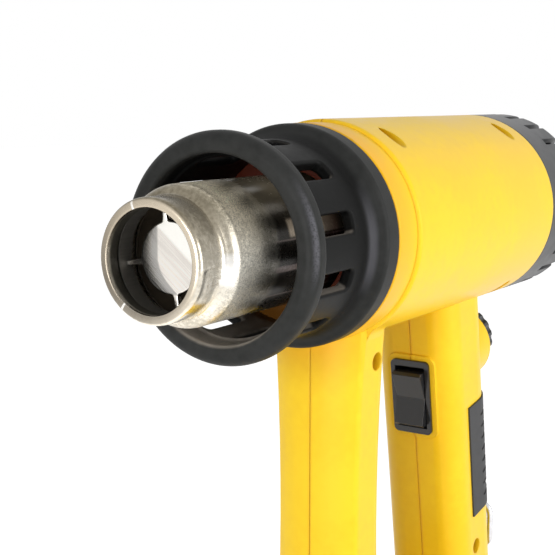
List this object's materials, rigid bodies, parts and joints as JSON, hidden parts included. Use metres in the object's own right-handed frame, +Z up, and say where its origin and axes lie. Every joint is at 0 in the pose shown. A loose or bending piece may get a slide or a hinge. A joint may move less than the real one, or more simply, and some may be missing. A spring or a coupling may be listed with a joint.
{
  "type": "hot air tool",
  "caption": "Corded hot air tool with a steel nozzle, slotted guard, round barrel, closed handle, rocker switch, heat dial and hanging ring.",
  "frame": {"origin": "on the surface that the foot pad stands on, under the middle of the overall length", "axes": "+X along the barrel, the way the air blows; +Y to the tool's left; +Z up"},
  "size_m": [0.2462, 0.0738, 0.2259],
  "materials": {
    "yellow_housing": "satin moulded nylon, fine texture",
    "black_guard": "satin heat resistant plastic",
    "black_cap": "satin moulded plastic",
    "nozzle_steel": "heat tinted stainless steel",
    "baffle_steel": "brushed stainless steel",
    "mica": "mica board",
    "core_ceramic": "unglazed ceramic",
    "element_wire": "oxidised resistance wire",
    "cutout_metal": "plain",
    "inner_plastic": "moulded",
    "fan_plastic": "moulded nylon",
    "turned_steel": "zinc plated",
    "copper": "copper windings on a core",
    "motor_steel": "zinc plated sheet",
    "ferrite": "ferrite",
    "soft_black": "matt soft rubber",
    "screen_mesh": "fine mesh",
    "switch_black": "gloss",
    "dial_black": "satin",
    "regulator_case": "moulded",
    "board_green": "solder mask",
    "capacitor_yellow": "moulded",
    "terminal_white": "moulded",
    "ring_steel": "polished wire"
  },
  "bodies": {
    "tool_body": {"left_housing": "yellow_housing", "right_housing": "yellow_housing", "guard": "black_guard", "rear_cap": "black_cap", "nozzle": "nozzle_steel", "baffle": "baffle_steel", "mica_sleeve": "mica", "heater_plate": "mica", "heater_core": "core_ceramic", "heating_elements": "element_wire", "thermal_cutout": "cutout_metal", "heat_sink": "cutout_metal", "air_guide": "inner_plastic", "motor_carrier": "inner_plastic", "housing_screws": "turned_steel", "clamp_screws": "turned_steel", "motor_case": "motor_steel", "motor_magnets": "ferrite", "grip_cover": "soft_black", "foot_pad": "soft_black", "motor_boot": "soft_black", "cord_gland": "soft_black", "dust_screen": "screen_mesh", "switch_body": "switch_black", "dial_regulator": "regulator_case", "control_board": "board_green", "capacitor": "capacitor_yellow", "terminal_block": "terminal_white", "cord_clamp": "terminal_white"},
    "rotor": {"fan": "fan_plastic", "motor_shaft": "turned_steel", "armature": "copper"},
    "rocker_key": {"rocker": "switch_black"},
    "heat_dial": {"dial": "dial_black"},
    "hanging_ring": {"hang_ring": "ring_steel"}
  },
  "joints": [
    {"name": "fan_spin", "type": "hinge", "parent": "tool_body", "child": "rotor", "pos_m": [-0.0086, 0, 0.18895], "axis": [1, 0, 0], "continuous": true},
    {"name": "rocker_rock", "type": "hinge", "parent": "tool_body", "child": "rocker_key", "pos_m": [-0.0374, 0, 0.11864], "axis": [0, 1, 0], "range_deg": [-12, 12]},
    {"name": "dial_turn", "type": "hinge", "parent": "tool_body", "child": "heat_dial", "pos_m": [-0.07777, 0, 0.13414], "axis": [-0.9877, 0, 0.1564], "range_deg": [0, 270]},
    {"name": "hang_ring_swing", "type": "hinge", "parent": "tool_body", "child": "hanging_ring", "pos_m": [-0.09144, 0, 0.06], "axis": [0, 1, 0], "range_deg": [-8, 200]}
  ]
}
